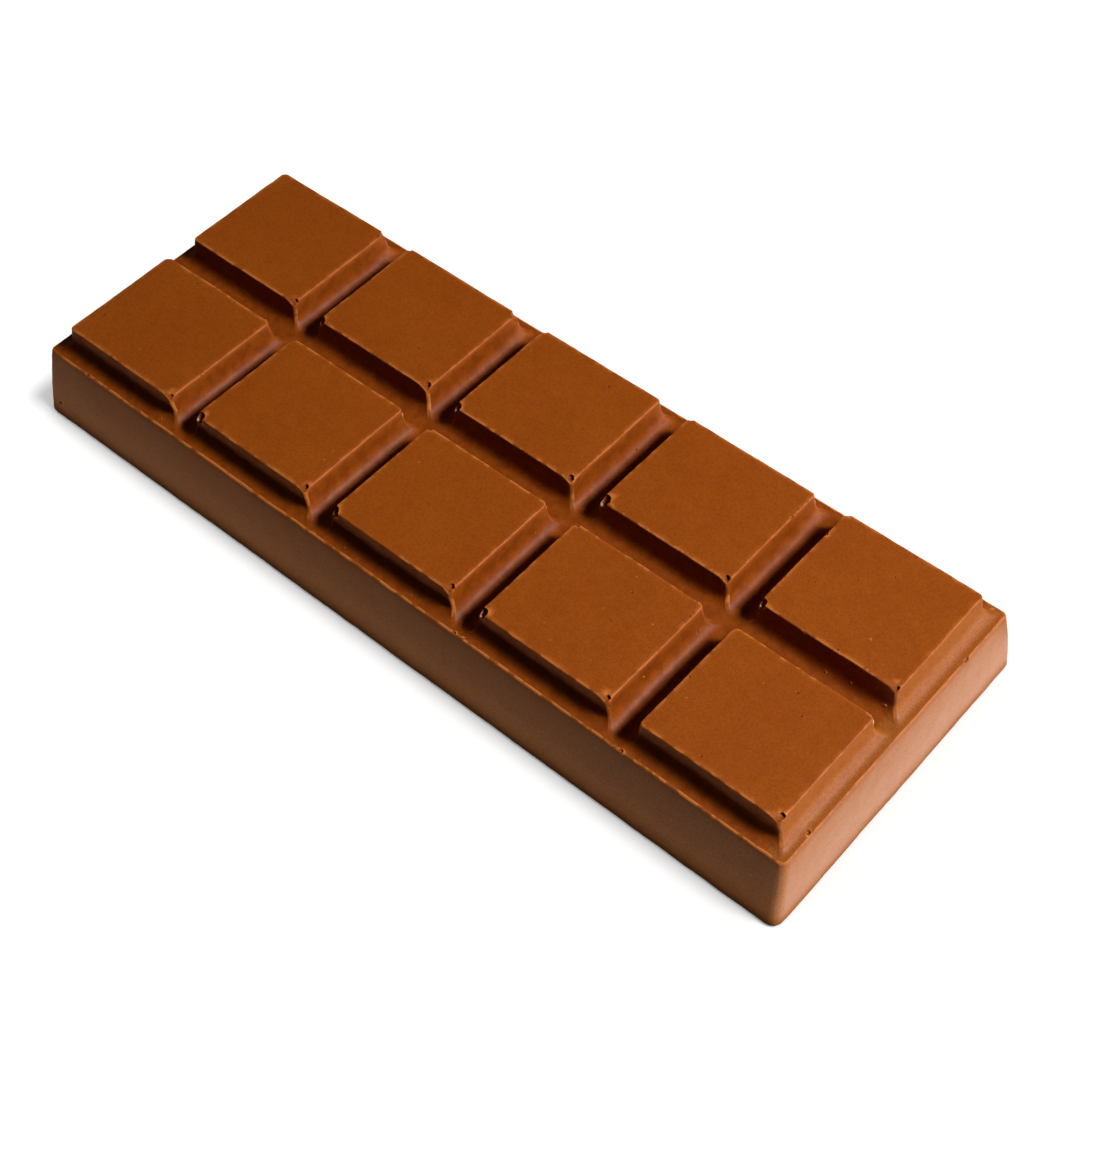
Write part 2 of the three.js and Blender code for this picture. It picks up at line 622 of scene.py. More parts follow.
@dataclass
class BarSurface:
    """The whole skin of the bar, from its tiles over the rim and down to the underside."""

    low: Vector
    high: Vector
    tile: TileShape = field(default_factory=TileShape)
    columns: int = 5
    rows: int = 2
    pitch_x: float = 24.35 * MM
    pitch_y: float = 22.3 * MM
    rim_length: float = 122.3 * MM
    rim_width: float = 44.7 * MM
    rim_corner: float = 0.75 * MM
    rim_edge: float = 0.32 * MM
    rim_steps: int = 5
    least_corner: float = 0.05 * MM
    base_corner: float = 1.5 * MM
    base_edge: float = 0.4 * MM
    side_bulge: float = 0.1 * MM
    side_steps: int = 12
    underside_shares: tuple[float, ...] = (0.02, 0.08, 0.2, 0.4, 0.65, 1.0)
    spine_share: float = 0.6
    weld: float = 0.002 * MM

    def __post_init__(self) -> None:
        """Works out the heights, half the slab's sizes and where its rim starts to round."""
        self.top = self.high.z
        self.rim = self.top - self.tile.rise
        self.base_x = (self.high.x - self.low.x) / 2
        self.base_y = (self.high.y - self.low.y) / 2
        self.rim_x = self.rim_length / 2
        self.rim_y = self.rim_width / 2
        self.start_x = self.rim_x - self._edge_start(self.rim_x, self.base_x)
        self.start_y = self.rim_y - self._edge_start(self.rim_y, self.base_y)
        self.start_corner = max(self.rim_corner - (self.rim_x - self.start_x), self.least_corner)
        self.loops = Loops()

    def _lean(self, rim_half: float, base_half: float) -> float:
        """How far a side of the slab leans from upright."""
        return math.atan((base_half - rim_half) / self.rim)

    def _edge_start(self, rim_half: float, base_half: float) -> float:
        """How far in from the sharp rim its rounding starts."""
        turn = math.pi / 2 - self._lean(rim_half, base_half)
        return self.rim_edge * math.tan(turn / 2)

    def build(self) -> bpy.types.Mesh:
        """Builds the closed mesh.

        Returns:
            The mesh, in the bar's frame.
        """
        for column in range(self.columns):
            for row in range(self.rows):
                self._tile_cell(column, row)
        self._slab()
        vertices = np.concatenate(self.loops.points)
        mesh = bpy.data.meshes.new("bar_skin")
        mesh.from_pydata(vertices.tolist(), [], self.loops.faces)
        work = bmesh.new()
        work.from_mesh(mesh)
        bmesh.ops.remove_doubles(work, verts=work.verts, dist=self.weld)
        bmesh.ops.recalc_face_normals(work, faces=work.faces)
        work.to_mesh(mesh)
        work.free()
        return mesh

    def centre(self, column: int, row: int) -> np.ndarray:
        """Finds the middle of a tile.

        Args:
            column: the tile's place along the bar.
            row: its place across.

        Returns:
            The point, from above.
        """
        along = (column - (self.columns - 1) / 2) * self.pitch_x
        across = (row - (self.rows - 1) / 2) * self.pitch_y
        return np.array([along, across])

    def tile_corner(self, column: int, row: int, corner: Corner) -> np.ndarray:
        """Where two edges of a tile's top would meet, from above."""
        return self.centre(column, row) + self.tile.half * corner.value

    def _reach(self, side: Side, column: int, row: int) -> float:
        """How far a tile's cell reaches from its middle towards one side.

        Args:
            side: the side.
            column: the tile's place along the bar.
            row: its place across.

        Returns:
            The distance to the middle of the valley, or to where the rim starts to round.
        """
        centre = self.centre(column, row)
        if side is Side.EAST and column == self.columns - 1:
            return self.start_x - centre[0]
        if side is Side.WEST and column == 0:
            return self.start_x + centre[0]
        if side is Side.NORTH and row == self.rows - 1:
            return self.start_y - centre[1]
        if side is Side.SOUTH and row == 0:
            return self.start_y + centre[1]
        return (self.pitch_x if side.end_on else self.pitch_y) / 2

    def _foot(self, side: Side, column: int, row: int) -> float:
        """How far a tile's foot reaches out from its top towards one side."""
        room = self._reach(side, column, row) - self.tile.half_towards(side)
        return min(room, self.tile.foot_out)

    def _ring(self, centre: np.ndarray, rows: Mapping[Side, np.ndarray]) -> np.ndarray:
        """One level round a tile.

        Args:
            centre: the middle of the tile.
            rows: for each side the distance out and the height under the top.

        Returns:
            The points of the loop.
        """
        tile = self.tile
        sunk = min(rows[Side.EAST][0], 0.0)
        radii = [max(radius + sunk, 0.0) for radius in tile.corner_radii]
        corners = box_corners({side: tile.half_towards(side) + rows[side][0] for side in Side})
        cores = corners - CORNER_SIGNS * np.array(radii)[:, None]
        points = []
        for side in Side:
            before, after = side.value - 1, side.value
            level = self.top - rows[side][1]
            next_level = self.top - rows[Side((side.value + 1) % 4)][1]
            first = cores[before] + radii[before] * side.direction
            last = cores[after] + radii[after] * side.direction
            for share in tile.stations(side)[:-1]:
                points.append((*(centre + first + (last - first) * share), level))
            for step in range(tile.corner_steps):
                share = step / tile.corner_steps
                around = radii[after] * heading(side.value + share)
                height = level + (next_level - level) * share
                points.append((*(centre + cores[after] + around), height))
        return np.array(points)

    def _tile_cell(self, column: int, row: int) -> None:
        """Adds a tile with its walls, its coves and its share of the valleys and ledges.

        Args:
            column: the tile's place along the bar.
            row: its place across.
        """
        centre = self.centre(column, row)
        sections = {side: self.tile.section(self._foot(side, column, row)) for side in Side}
        rings = []
        for level in range(len(sections[Side.EAST])):
            ring = self._ring(centre, {side: sections[side][level] for side in Side})
            rings.append(self.loops.add(ring))
        self.loops.bridge(*rings)
        self._tile_top(centre)
        self.loops.bridge(rings[-1], self.loops.add(self._cell_border(column, row)))

    def _tile_top(self, centre: np.ndarray) -> None:
        """Fills the flat top inside the innermost ring with a grid.

        Args:
            centre: the middle of the tile.
        """
        half = self.tile.half - self.tile.top_insets[0]
        along = centre[0] + half[0] * (2 * self.tile.stations(Side.NORTH) - 1)
        across = centre[1] + half[1] * (2 * self.tile.stations(Side.EAST) - 1)
        points = np.array([(x, y, self.top) for y in across for x in along])
        self.loops.grid(self.loops.add(points).reshape(len(across), len(along)))

    def _cell_border(self, column: int, row: int) -> np.ndarray:
        """The outline in which a tile's cell meets its neighbours or the rim.

        Args:
            column: the tile's place along the bar.
            row: its place across.

        Returns:
            The points, one for each point of the tile's rings.
        """
        tile, centre = self.tile, self.centre(column, row)
        reach = {side: self._reach(side, column, row) for side in Side}
        straight = {side: tile.half_towards(side) - tile.corner for side in Side}
        cores = box_corners({side: straight[side] + self._foot(side, column, row) for side in Side})
        points = []
        for side, start, end, far in zip(Side, np.roll(cores, 1, 0), cores, box_corners(reach)):
            fixed = side.direction * reach[side]
            for share in tile.stations(side)[:-1]:
                along = (start + (end - start) * share) * (1 - np.abs(side.direction))
                points.append((*(centre + along + fixed), self.rim))
            radius = self.start_corner if self._is_bar_corner(side, column, row) else 0.0
            path = corner_path(side, end, far, radius, tile.corner_steps)
            points += [(*(centre + point), self.rim) for point in path]
        return np.array(points)

    def _is_bar_corner(self, side: Side, column: int, row: int) -> bool:
        """Whether the corner after a side of a cell is a corner of the whole bar.

        Args:
            side: the side.
            column: the cell's place along the bar.
            row: its place across.

        Returns:
            True at the bar's own corners.
        """
        last_column, last_row = self.columns - 1, self.rows - 1
        ends = ((last_column, last_row), (0, last_row), (0, 0), (last_column, 0))
        return (column, row) == ends[side.value]

    def _slab_section(self, rim_half: float, base_half: float) -> np.ndarray:
        """The slab's section from where the rim starts to round down to the underside.

        Args:
            rim_half: half the slab's size at the sharp rim.
            base_half: half its size at the base.

        Returns:
            Rows of half the size there and the height.
        """
        lean = self._lean(rim_half, base_half)
        start = rim_half - self._edge_start(rim_half, base_half)
        rows = []
        for angle in even_steps(0, math.pi / 2 - lean, self.rim_steps):
            drop = self.rim_edge * (1 - math.cos(angle))
            rows.append((start + self.rim_edge * math.sin(angle), self.rim - drop))
        side_top = rows[-1][1]
        side_foot = self.base_edge * math.tan((math.pi / 2 + lean) / 2) * math.cos(lean)
        for share in even_steps(0, 1, self.side_steps)[1:]:
            height = side_top + (side_foot - side_top) * share
            bulge = self.side_bulge * 4 * share * (1 - share)
            rows.append((base_half - height * math.tan(lean) + bulge, height))
        foot_half = rows[-1][0]
        for angle in even_steps(-lean, math.pi / 2, self.rim_steps)[1:]:
            inward = self.base_edge * (math.cos(lean) - math.cos(angle))
            fall = self.base_edge * (math.sin(angle) + math.sin(lean))
            rows.append((foot_half - inward, side_foot - fall))
        return np.array(rows)

    def _slab(self) -> None:
        """Adds the rounded rim, the drafted sides, the lower edge and the underside."""
        along = self._slab_section(self.rim_x, self.base_x)
        across = self._slab_section(self.rim_y, self.base_y)
        rings = []
        for x_row, y_row in zip(along, across):
            share = 1 - x_row[1] / self.rim
            radius = self.rim_corner + (self.base_corner - self.rim_corner) * share
            inset = max(self.rim_x - x_row[0], self.base_x * share - x_row[0], 0.0)
            ring = self._slab_ring(x_row, y_row, max(radius - inset, self.start_corner))
            rings.append(self.loops.add(ring))
        spine = self.base_x * self.spine_share
        edge = self.loops.points[-1]
        target = np.stack([np.clip(edge[:, 0], -spine, spine), 0 * edge[:, 1], edge[:, 2]], 1)
        for share in self.underside_shares:
            rings.append(self.loops.add(edge + (target - edge) * share))
        self.loops.bridge(*rings)

    def _slab_ring(self, x_row: np.ndarray, y_row: np.ndarray, radius: float) -> np.ndarray:
        """One level round the slab.

        Args:
            x_row: half the slab's length there and the height.
            y_row: half its width and the height.
            radius: how round its corners are.

        Returns:
            The points of the loop, in the order of the tiles' borders.
        """
        along, across = self._rim_stations(Side.SOUTH), self._rim_stations(Side.EAST)
        core = np.array([along[-1], across[-1]])
        half = np.array([x_row[0], y_row[0]])
        height = (x_row[1] + y_row[1]) / 2
        points: list[Pair] = []
        for side, sign in zip(Side, CORNER_SIGNS):
            spots = across if side.end_on else along
            if side in (Side.NORTH, Side.WEST):
                spots = spots[::-1]
            outward = side.direction * half
            for spot in spots[:-1]:
                points.append((outward[0], spot) if side.end_on else (spot, outward[1]))
            path = corner_path(side, core * sign, half * sign, radius, self.tile.corner_steps)
            points += [tuple(point) for point in path]
        return np.array([(x, y, height) for x, y in points])

    def _rim_stations(self, side: Side) -> np.ndarray:
        """The places of the rim's points along one side of the bar, where the borders have theirs.

        Args:
            side: the side, south or east.

        Returns:
            The places, from the first corner's inner point to the last one's.
        """
        if side is Side.SOUTH:
            axis, ahead, behind = 0, Side.EAST, Side.WEST
            cells = [(column, 0) for column in range(self.columns)]
        else:
            axis, ahead, behind = 1, Side.NORTH, Side.SOUTH
            cells = [(self.columns - 1, row) for row in range(self.rows)]
        half = self.tile.half[axis]
        valley_steps = self.tile.corner_steps // 2
        places: list[float] = []
        for cell in cells:
            centre = self.centre(*cell)[axis]
            first = centre - half - self._foot(behind, *cell) + self.tile.corner
            last = centre + half + self._foot(ahead, *cell) - self.tile.corner
            if cell != cells[0]:
                start = centre - self._reach(behind, *cell)
                places += list(even_steps(start, first, valley_steps)[:-1])
            places += list(first + (last - first) * self.tile.stations(side))
            if cell != cells[-1]:
                end = centre + self._reach(ahead, *cell)
                places += list(even_steps(last, end, valley_steps)[1:-1])
        return np.array(places)


# ---- Marks: hollows, beads and crumbs ----


@dataclass(frozen=True)
class Lump:
    """A small uneven ball, used as a hollow that is cut away or as a bead that is added."""

    place: Triple
    radii: Triple
    unevenness: float = 0.12
    bumpiness: float = 1.3

    def add_to(self, work: bmesh.types.BMesh) -> None:
        """Adds the ball to a mesh.

        Args:
            work: the mesh that takes it.
        """
        made = bmesh.ops.create_icosphere(work, subdivisions=3, radius=1.0)
        middle = Vector(self.place)
        for vertex in made["verts"]:
            spot = vertex.co * self.bumpiness + middle / MM
            grown = 1 + self.unevenness * noise.noise(spot)
            vertex.co = middle + Vector(self.radii) * vertex.co * grown


def lump_at(spot: Sequence[float], level: float, depth: float, radii: Triple) -> Lump:
    """A lump at a spot from above, its depth under a level and its radii given in millimetres."""
    place = (float(spot[0]), float(spot[1]), level - depth * MM)
    return Lump(place, tuple(radius * MM for radius in radii))


@dataclass(frozen=True)
class CornerMark:
    """A mark at a corner of one tile's top. Distances are in millimetres."""

    column: int
    row: int
    corner: Corner
    inward: Pair
    depth: float
    radii: Triple

    def lump(self, surface: BarSurface) -> Lump:
        """The lump for this mark, in the bar's frame."""
        inset = np.array(self.corner.value) * (surface.tile.half - np.array(self.inward) * MM)
        return lump_at(surface.centre(self.column, self.row) + inset, surface.top, self.depth, self.radii)


@dataclass(frozen=True)
class TopMark:
    """A mark on a tile's top, as seen from its middle. Distances are in millimetres."""

    column: int
    row: int
    offset: Pair
    radii: Triple
    depth: float = 0.0

    def lump(self, surface: BarSurface) -> Lump:
        """The lump for this mark, in the bar's frame."""
        spot = surface.centre(self.column, self.row) + np.array(self.offset) * MM
        return lump_at(spot, surface.top, self.depth, self.radii)


@dataclass(frozen=True)
class SlabMark:
    """A mark on the slab, by its place in millimetres. Its height is measured from the ledge."""

    place: Triple
    radii: Triple

    def lump(self, surface: BarSurface) -> Lump:
        """The lump for this mark, in the bar's frame."""
        along, across, above = self.place
        return lump_at((along * MM, across * MM), surface.rim, -above, self.radii)


def corner_marks(corner: Corner, *marks: tuple[int, int, Pair, float, Triple]) -> tuple[CornerMark, ...]:
    """Marks at the same corner of several tiles, each with its column, row, inward, depth and radii."""
    return tuple(CornerMark(column, row, corner, *sizes) for column, row, *sizes in marks)


FRONT, BACK = 0, 1

PINHOLES = corner_marks(
    Corner.FRONT_RIGHT,
    (0, BACK, (0.28, 0.72), 0.26, (0.30, 0.30, 0.30)),
    (1, BACK, (0.50, 0.78), 0.20, (0.42, 0.44, 0.36)),
    (2, BACK, (0.56, 0.62), 0.24, (0.46, 0.44, 0.36)),
    (3, BACK, (0.50, 0.60), 0.24, (0.40, 0.39, 0.36)),
    (4, BACK, (0.32, 0.58), 0.30, (0.24, 0.24, 0.28)),
    (0, FRONT, (0.38, 0.56), 0.32, (0.26, 0.26, 0.26)),
    (1, FRONT, (0.40, 0.78), 0.24, (0.35, 0.38, 0.34)),
    (2, FRONT, (0.42, 0.88), 0.18, (0.40, 0.40, 0.34)),
    (3, FRONT, (0.40, 0.66), 0.26, (0.33, 0.31, 0.30)),
    (4, FRONT, (0.34, 0.82), 0.20, (0.42, 0.46, 0.32)),
)

NOTCHES = (
    *corner_marks(
        Corner.FRONT_LEFT,
        (1, BACK, (0.00, -0.05), 0.15, (1.00, 1.00, 0.80)),
        (2, BACK, (0.10, 0.05), 0.15, (0.95, 1.00, 0.80)),
        (3, BACK, (0.35, 0.45), 0.20, (0.88, 0.92, 0.85)),
        (4, BACK, (0.15, 0.15), 0.15, (0.80, 0.80, 0.70)),
        (1, FRONT, (0.50, 0.20), 0.20, (0.85, 0.85, 0.80)),
        (2, FRONT, (0.05, -0.10), 0.15, (1.10, 1.10, 0.80)),
        (3, FRONT, (0.35, 0.35), 0.20, (0.70, 0.72, 0.75)),
    ),
    *corner_marks(
        Corner.BACK_LEFT,
        (2, FRONT, (0.28, 0.22), 0.05, (0.50, 0.34, 0.26)),
        (3, FRONT, (0.30, 0.22), 0.05, (0.52, 0.36, 0.28)),
        (1, BACK, (0.20, 0.16), 0.05, (0.36, 0.34, 0.26)),
        (2, BACK, (0.28, 0.16), 0.05, (0.44, 0.36, 0.28)),
        (3, BACK, (0.36, 0.16), 0.05, (0.46, 0.34, 0.26)),
        (4, BACK, (0.36, 0.16), 0.05, (0.50, 0.34, 0.26)),
        (0, FRONT, (0.20, 0.10), 0.05, (0.34, 0.30, 0.24)),
    ),
    *corner_marks(
        Corner.BACK_RIGHT,
        (0, BACK, (-0.45, -0.30), 0.10, (1.30, 1.10, 1.50)),
        (1, BACK, (-0.45, -0.30), 0.10, (1.60, 1.30, 1.40)),
    ),
)

BEADS = (
    *corner_marks(
        Corner.FRONT_LEFT,
        (1, BACK, (0.22, 0.20), 1.10, (0.16, 0.16, 0.26)),
        (2, BACK, (0.18, 0.18), 1.05, (0.18, 0.18, 0.32)),
        (3, BACK, (0.12, 0.12), 1.05, (0.20, 0.20, 0.34)),
        (4, BACK, (0.16, 0.14), 0.95, (0.14, 0.15, 0.34)),
        (1, FRONT, (0.14, 0.12), 1.10, (0.16, 0.16, 0.42)),
        (2, FRONT, (0.16, 0.16), 1.10, (0.16, 0.16, 0.30)),
        (3, FRONT, (0.16, 0.14), 1.05, (0.15, 0.15, 0.28)),
    ),
    *corner_marks(
        Corner.BACK_RIGHT,
        (1, FRONT, (0.16, 0.16), 1.00, (0.16, 0.16, 0.30)),
        (2, FRONT, (0.18, 0.18), 0.85, (0.17, 0.17, 0.30)),
        (4, FRONT, (0.14, 0.14), 1.00, (0.20, 0.20, 0.44)),
        (3, BACK, (0.10, 0.10), 1.60, (0.18, 0.18, 0.40)),
    ),
)

LIPS = corner_marks(
    Corner.BACK_RIGHT,
    (3, FRONT, (0.78, 0.10), 0.02, (0.18, 0.16, 0.10)),
    (0, FRONT, (0.70, 0.08), 0.02, (0.16, 0.14, 0.08)),
)

EDGE_NICKS = (
    TopMark(0, FRONT, (-1.12, -8.95), (0.34, 0.16, 0.20)),
    TopMark(3, BACK, (9.95, 0.84), (0.16, 0.30, 0.20)),
    TopMark(3, BACK, (9.90, 3.98), (0.36, 0.34, 0.24)),
    TopMark(4, BACK, (-9.90, 4.53), (0.32, 0.34, 0.26)),
    TopMark(4, BACK, (-3.14, -8.95), (0.26, 0.15, 0.20)),
    TopMark(3, FRONT, (9.95, 0.59), (0.16, 0.32, 0.20)),
    TopMark(3, FRONT, (9.95, -3.66), (0.15, 0.28, 0.18)),
)

TOP_PITS = (
    TopMark(2, BACK, (5.28, -1.38), (0.12, 0.12, 0.14)),
    TopMark(4, BACK, (0.25, 4.42), (0.12, 0.12, 0.14)),
    TopMark(4, BACK, (-6.57, -2.25), (0.10, 0.10, 0.12)),
    TopMark(4, BACK, (-2.84, 1.25), (0.10, 0.10, 0.12)),
    TopMark(3, FRONT, (2.73, 0.16), (0.12, 0.12, 0.14)),
)

TOP_CRUMBS = (
    TopMark(0, FRONT, (9.88, -3.28), (0.16, 0.36, 0.10), 0.04),
    TopMark(4, BACK, (3.21, -4.91), (0.12, 0.12, 0.06), 0.02),
)

SLAB_HOLLOWS = (
    SlabMark((-53.5, -22.34, 0.00), (0.34, 0.22, 0.20)),
    SlabMark((-43.4, -22.34, 0.00), (0.30, 0.20, 0.20)),
    SlabMark((-33.1, -22.34, 0.00), (0.32, 0.20, 0.20)),
    SlabMark((12.3, -22.20, 0.02), (0.26, 0.24, 0.26)),
    SlabMark((38.06, -22.20, 0.02), (0.28, 0.26, 0.28)),
    SlabMark((60.6, -17.2, 0.00), (0.30, 0.34, 0.26)),
    SlabMark((61.0, 13.5, 0.00), (0.30, 0.50, 0.22)),
    SlabMark((34.8, -3.95, 0.76), (0.20, 0.22, 0.18)),
    SlabMark((-40.0, -21.2, 0.23), (0.20, 0.20, 0.18)),
    SlabMark((-59.7, -23.95, -8.33), (0.32, 0.14, 0.32)),
)

SLAB_CRUMBS = (
    SlabMark((13.6, -22.1, 0.00), (0.16, 0.16, 0.12)),
    SlabMark((-3.26, 22.05, 0.00), (0.16, 0.14, 0.12)),
    SlabMark((34.45, -13.8, 2.00), (0.14, 0.22, 0.16)),
    SlabMark((49.6, 1.3, 0.36), (0.18, 0.14, 0.14)),
    SlabMark((52.9, 1.7, 0.77), (0.14, 0.12, 0.12)),
    SlabMark((57.7, 1.7, 0.77), (0.16, 0.12, 0.12)),
    SlabMark((59.3, 21.75, 0.00), (0.22, 0.18, 0.12)),
)


class Carver:
    """Cuts hollows out of a piece and adds beads to it."""

    def __init__(self, piece: bpy.types.Object) -> None:
        """Takes the piece to work on."""
        self.piece = piece

    def cut(self, lumps: Sequence[Lump]) -> None:
        """Cuts balls away."""
        self._combine(lumps, "DIFFERENCE")

    def add(self, lumps: Sequence[Lump]) -> None:
        """Melts balls on."""
        self._combine(lumps, "UNION")

    def _combine(self, lumps: Sequence[Lump], operation: str) -> None:
        """Combines the piece with a set of balls, as one Boolean.

        Args:
            lumps: the balls; they don't touch each other.
            operation: the Boolean modifier's operation.
        """
        work = bmesh.new()
        for lump in lumps:
            lump.add_to(work)
        mesh = bpy.data.meshes.new("lumps")
        work.to_mesh(mesh)
        work.free()
        tool = new_object("lumps", mesh)
        modifier = self.piece.modifiers.new("carve", "BOOLEAN")
        modifier.operation = operation
        modifier.solver = "MANIFOLD"
        modifier.object = tool
        graph = bpy.context.evaluated_depsgraph_get()
        carved = bpy.data.meshes.new_from_object(self.piece.evaluated_get(graph))
        self.piece.modifiers.clear()
        old, self.piece.data = self.piece.data, carved
        bpy.data.objects.remove(tool)
        for stale in (old, mesh):
            bpy.data.meshes.remove(stale)


# ---- Unevenness and the layers that the finish reads ----


@dataclass(frozen=True)
class CornerSag:
    """How the corner of each tile that points to the front right is rounded off downwards.

    In the front row the ridge under that corner also leans to the right.
    """

    reach: Pair = (1.45 * MM, 0.85 * MM)
    drop: float = 0.62 * MM
    depth: float = 1.5 * MM
    lean: Pair = (0.30 * MM, 0.30 * MM)
    lean_start: float = 0.5 * MM
    lean_reach: float = 3.0 * MM

    def apply(self, mesh: bpy.types.Mesh, surface: BarSurface) -> None:
        """Moves the skin round those corners, most at the corner itself.

        Args:
            mesh: the mesh to move.
            surface: the bar that it belongs to.
        """
        flat = np.empty(len(mesh.vertices) * 3)
        mesh.vertices.foreach_get("co", flat)
        points = flat.reshape(-1, 3)
        for column in range(surface.columns):
            for row in range(surface.rows):
                away = points[:, :2] - surface.tile_corner(column, row, Corner.FRONT_RIGHT)
                under = surface.top - points[:, 2]
                near = smooth_step(1 - np.linalg.norm(away / self.reach, axis=1))
                points[:, 2] -= self.drop * near * np.clip(1 - under / self.depth, 0, 1)
                if row == FRONT:
                    near = smooth_step(1 - np.linalg.norm(away, axis=1) / self.lean_reach)
                    deep = smooth_step((under - self.lean_start) / surface.tile.rise)
                    points[:, :2] += np.array(self.lean) * (near * deep)[:, None]
        mesh.vertices.foreach_set("co", points.ravel())


@dataclass(frozen=True)
class Unevenness:
    """How far the skin strays from true, in waves of several lengths, each with its shift."""

    waves: tuple[Pair, ...] = ((9 * MM, 0.050 * MM), (2.4 * MM, 0.040 * MM), (1.0 * MM, 0.034 * MM))
    level_share: float = 0.35
    seed: int = 1

    def apply(self, mesh: bpy.types.Mesh) -> None:
        """Moves every vertex a little, and keeps all of them above the floor.

        Args:
            mesh: the mesh to move.
        """
        # Without a seed the noise vectors take their offsets from the clock.
        noise.seed_set(self.seed)
        for vertex in mesh.vertices:
            spot = vertex.co
            shift = Vector()
            for length, height in self.waves:
                shift += noise.noise_vector(spot / length) * height
            shift.z *= self.level_share
            vertex.co = spot + shift
            vertex.co.z = max(vertex.co.z, 0.0)


@dataclass(frozen=True)
class SkinLayers:
    """What the finish needs to know of each vertex, stored on the mesh itself.

    The slab's sides are paler than its top. The ledge at the right end gets the same paler colour as a
    painted sheen; the edges and beads get painted highlights and the hollows painted shade.
    """

    surface: BarSurface
    flat_bend: float = 0.8 / MM
    edge_bend: float = 2.0 / MM
    narrowest: float = 0.05 * MM
    foot: float = 3 * MM
    side_start: float = 0.5 * MM
    end_sheen_width: float = 3.0 * MM
    end_sheen_share: float = 0.65
    spill: float = 0.5
    top_slack: float = 0.1 * MM
    right_full: float = 0.5
    right_share: float = 0.2
    rim_gain: float = 0.7
    rim_reach: float = 0.9 * MM
    bead_reach: float = 1.2
    hollow_start: float = 0.6 * MM
    ridge_reach: float = 0.9 * MM
    ridge_start: float = 0.3 * MM

    def store(self, mesh: bpy.types.Mesh, beads: Sequence[Lump]) -> None:
        """Stores where the painted highlights of the edges and beads go, where the slab's sides and the
        painted sheen at the right end are, and where the hollows with their painted shade are.

        Args:
            mesh: the mesh to mark.
            beads: the balls that were added to the skin, which get a painted highlight.
        """
        work = bmesh.new()
        work.from_mesh(mesh)
        pairs, bends = self._bends(work)
        points = np.array([vertex.co for vertex in work.verts])
        rightward = np.array([max(vertex.normal.x, 0.0) for vertex in work.verts])
        work.free()
        sunk = smooth_step((self.surface.top - points[:, 2]) / self.hollow_start)
        sides = smooth_step((self.surface.rim - points[:, 2]) / self.side_start)
        # The ledge and coves at the right end take the sides' paler colour as a painted sheen.
        inward = self.surface.rim_x - points[:, 0]
        end = smooth_step((self.end_sheen_width - inward) / self.side_start) * sunk
        sides = np.maximum(sides, self.end_sheen_share * end)
        layers = {
            EDGE_HIGHLIGHT_LAYER: self._edge_highlights(points, bends, rightward, pairs),
            SIDE_AND_SHEEN_LAYER: sides,
            BEAD_HIGHLIGHT_LAYER: self._bead_highlights(points, beads),
            HOLLOW_LAYER: sunk * (1 - sides),
        }
        for name, values in layers.items():
            layer = mesh.attributes.new(name, "FLOAT", "POINT")
            layer.data.foreach_set("value", values)

    def _bends(self, work: bmesh.types.BMesh) -> tuple[np.ndarray, np.ndarray]:
        """Finds how sharply the skin bends outwards.

        Args:
            work: the mesh.

        Returns:
            The two vertices of each edge, and for each vertex the sharpest bend of its edges.
        """
        middles = [face.calc_center_median() for face in work.faces]
        bends = np.zeros(len(work.verts))
        pairs = np.array([[vertex.index for vertex in edge.verts] for edge in work.edges])
        for edge, pair in zip(work.edges, pairs):
            first, second = (middles[face.index] for face in edge.link_faces)
            width = max((first - second).length, self.narrowest)
            bend = edge.calc_face_angle_signed(0.0) / width
            bends[pair] = np.maximum(bends[pair], bend)
        return pairs, bends

    def _edge_highlights(
        self, points: np.ndarray, bends: np.ndarray, rightward: np.ndarray, pairs: np.ndarray
    ) -> np.ndarray:
        """Finds where the edges get a painted highlight: less where they face right, towards the lights,
        and more along the rim.

        Args:
            points: the places of the vertices.
            bends: how sharply the skin bends at each of them.
            rightward: how far each faces right, from 0 to 1.
            pairs: the two vertices of each edge.

        Returns:
            How much painted highlight each vertex gets. On the tops it spills over to the next vertices.
        """
        edges = smooth_step((bends - self.flat_bend) / (self.edge_bend - self.flat_bend))
        edges *= smooth_step(points[:, 2] / self.foot)
        # Edges that face the lights on the right get less painted highlight, as those lights already
        # brighten them; the ridges keep theirs.
        dulled = smooth_step(rightward / self.right_full) * (1 - self._ridges(points))
        edges *= 1 - (1 - self.right_share) * dulled
        from_rim = np.abs(points[:, 2] - self.surface.rim)
        edges *= 1 + self.rim_gain * (1 - dulled) * smooth_step(1 - from_rim / self.rim_reach)
        share = self.spill * (points[:, 2] > self.surface.top - self.top_slack)
        spilt = edges.copy()
        for near, far in (pairs.T, pairs.T[::-1]):
            np.maximum.at(spilt, near, edges[far] * share[near])
        return spilt

    def _ridges(self, points: np.ndarray) -> np.ndarray:
        """Finds the ridges under the front right corners of all tiles but the last ones, which keep their
        full painted highlight.

        Args:
            points: the places of the vertices.

        Returns:
            For each vertex 1 on a ridge, and 0 away from all of them.
        """
        near = np.zeros(len(points))
        for column in range(self.surface.columns - 1):
            for row in range(self.surface.rows):
                corner = self.surface.tile_corner(column, row, Corner.FRONT_RIGHT)
                away = np.linalg.norm(points[:, :2] - corner, axis=1)
                near = np.maximum(near, smooth_step(2 - 2 * away / self.ridge_reach))
        return near * (points[:, 2] < self.surface.top - self.ridge_start)

    def _bead_highlights(self, points: np.ndarray, beads: Sequence[Lump]) -> np.ndarray:
        """Finds the vertices of the beads, which get a painted highlight.

        Args:
            points: the places of the vertices.
            beads: the balls that were added.

        Returns:
            For each vertex 1 on a bead, and 0 elsewhere.
        """
        pale = np.zeros(len(points))
        for bead in beads:
            away = np.linalg.norm((points - bead.place) / bead.radii, axis=1)
            pale[away < self.bead_reach] = 1.0
        return pale


# ---- The studio ----


